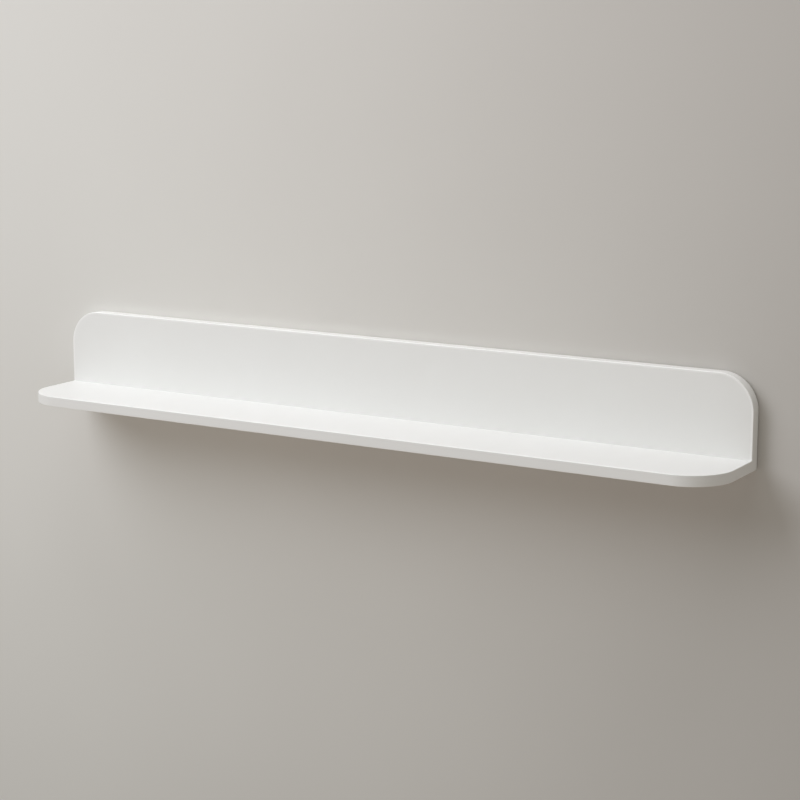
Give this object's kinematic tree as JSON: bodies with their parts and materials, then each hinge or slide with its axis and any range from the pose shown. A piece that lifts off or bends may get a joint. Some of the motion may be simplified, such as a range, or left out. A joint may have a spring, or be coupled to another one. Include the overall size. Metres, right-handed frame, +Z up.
{
  "type": "floating wall shelf",
  "caption": "Long shallow wall ledge: a board with rounded front corners joined to the foot of an upright back panel with rounded top corners, hung on hidden keyhole plates.",
  "frame": {"origin": "on the wall plane, at the middle of the shelf's length, level with the ledge's top", "axes": "+X along the shelf to the viewer's right, +Y into the wall, +Z up"},
  "size_m": [1.2, 0.15, 0.135],
  "materials": {
    "white_lacquer": "satin white lacquer on fibreboard",
    "beech": "raw turned beech",
    "plate_zinc": "pressed steel, bright zinc plated",
    "screw_zinc": "steel, zinc plated with a pale yellow tint"
  },
  "bodies": {
    "root": {"back_panel": "white_lacquer", "shelf_board": "white_lacquer", "dowel_1": "beech", "dowel_2": "beech", "dowel_3": "beech", "dowel_4": "beech", "dowel_5": "beech", "dowel_6": "beech", "joint_screw_1": "screw_zinc", "joint_screw_2": "screw_zinc", "joint_screw_3": "screw_zinc", "joint_screw_4": "screw_zinc", "joint_screw_5": "screw_zinc", "hanger_screw_left_upper": "screw_zinc", "hanger_screw_left_lower": "screw_zinc", "hanger_screw_centre_upper": "screw_zinc", "hanger_screw_centre_lower": "screw_zinc", "hanger_screw_right_upper": "screw_zinc", "hanger_screw_right_lower": "screw_zinc", "hanger_plate_left": "plate_zinc", "hanger_plate_centre": "plate_zinc", "hanger_plate_right": "plate_zinc"}
  },
  "joints": []
}
